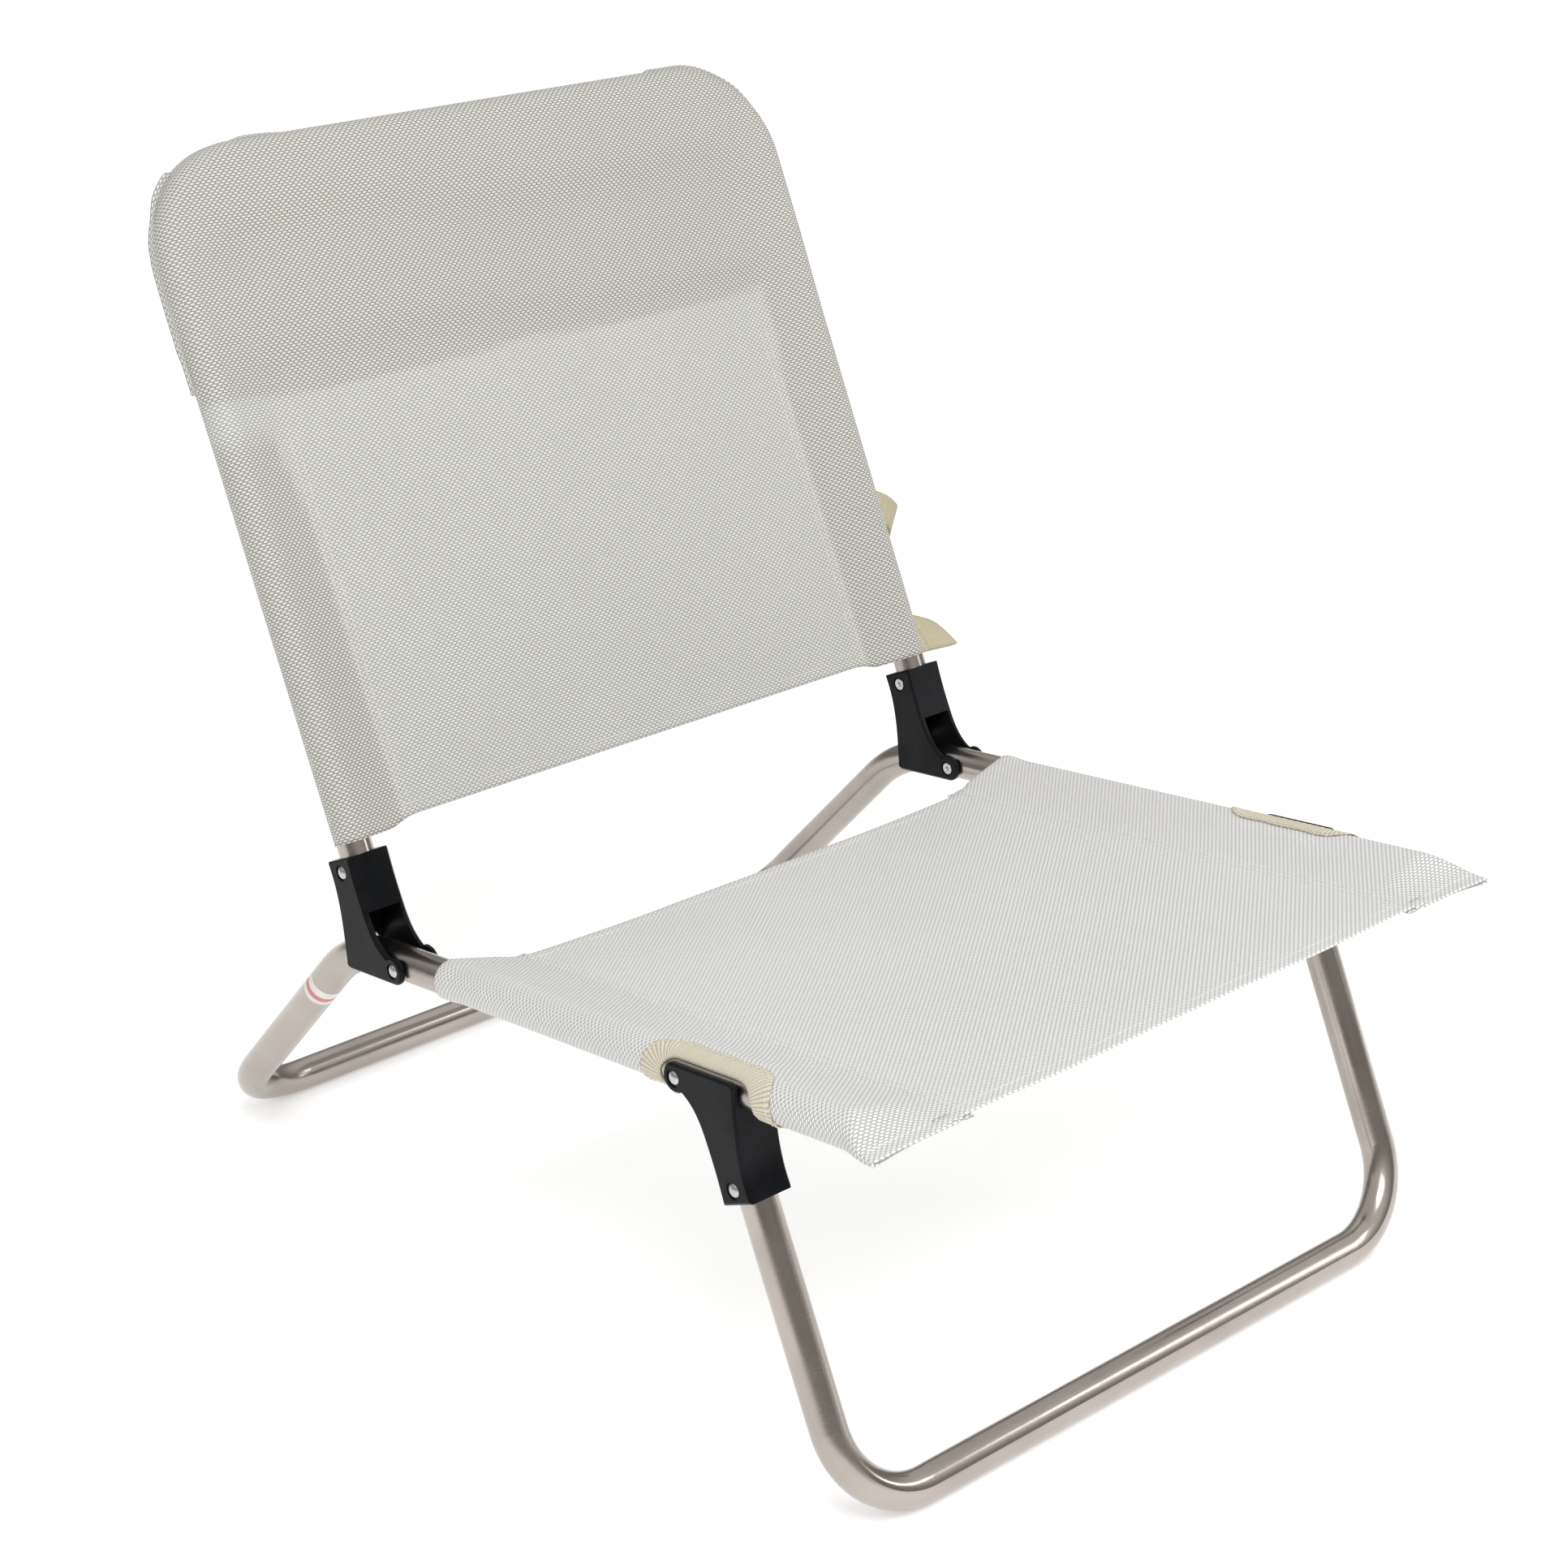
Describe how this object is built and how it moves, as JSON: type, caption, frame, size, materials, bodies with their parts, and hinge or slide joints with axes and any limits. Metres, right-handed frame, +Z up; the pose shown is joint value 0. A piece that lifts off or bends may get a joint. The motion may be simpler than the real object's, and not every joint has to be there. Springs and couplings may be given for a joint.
{
  "type": "folding camp chair",
  "caption": "Low folding camp chair: bent aluminium tube frame with a cream woven seat and back sling, black hinge brackets, a back and a front leg that both fold flat against the seat.",
  "frame": {"origin": "on the ground, on the plane of symmetry of the frame, midway between the axes of the front and rear ground bars", "axes": "+Z up, the chair faces -Y, +X to the right of someone looking at its front"},
  "size_m": [0.539, 0.682, 0.6643],
  "materials": {
    "tube_aluminium": "satin",
    "rivet_aluminium": "polished",
    "bracket_plastic": "satin",
    "plug_plastic": "matte",
    "bush_nylon": "matte",
    "sling_cloth": "matte",
    "webbing": "matte",
    "label_print": "gloss"
  },
  "bodies": {
    "seat_frame": {"seat_frame_tube": "tube_aluminium", "seat_sling": "sling_cloth", "leg_label": "label_print", "seat_tube_plug_left": "plug_plastic", "seat_tube_plug_right": "plug_plastic", "rear_pivot_bush_left": "bush_nylon", "rear_pivot_bush_right": "bush_nylon", "front_pivot_bush_left": "bush_nylon", "front_pivot_bush_right": "bush_nylon", "seat_binding_left": "webbing", "seat_binding_right": "webbing"},
    "backrest": {"back_frame_tube": "tube_aluminium", "back_sling": "sling_cloth", "back_hood": "sling_cloth", "carry_strap": "webbing", "rear_bracket_left": "bracket_plastic", "rear_bracket_right": "bracket_plastic", "back_pivot_rivet_left": "rivet_aluminium", "back_pivot_rivet_right": "rivet_aluminium", "back_fixing_rivet_left": "rivet_aluminium", "back_fixing_rivet_right": "rivet_aluminium"},
    "front_leg": {"front_leg_tube": "tube_aluminium", "front_bracket_left": "bracket_plastic", "front_bracket_right": "bracket_plastic", "leg_pivot_rivet_left": "rivet_aluminium", "leg_pivot_rivet_right": "rivet_aluminium", "leg_fixing_rivet_left": "rivet_aluminium", "leg_fixing_rivet_right": "rivet_aluminium"}
  },
  "joints": [
    {"name": "back_fold", "type": "hinge", "parent": "seat_frame", "child": "backrest", "pos_m": [0, 0.08482, 0.20263], "axis": [1, 0, 0], "range_deg": [0, 104]},
    {"name": "leg_fold", "type": "hinge", "parent": "seat_frame", "child": "front_leg", "pos_m": [0, -0.18485, 0.23814], "axis": [1, 0, 0], "range_deg": [0, 104]}
  ]
}
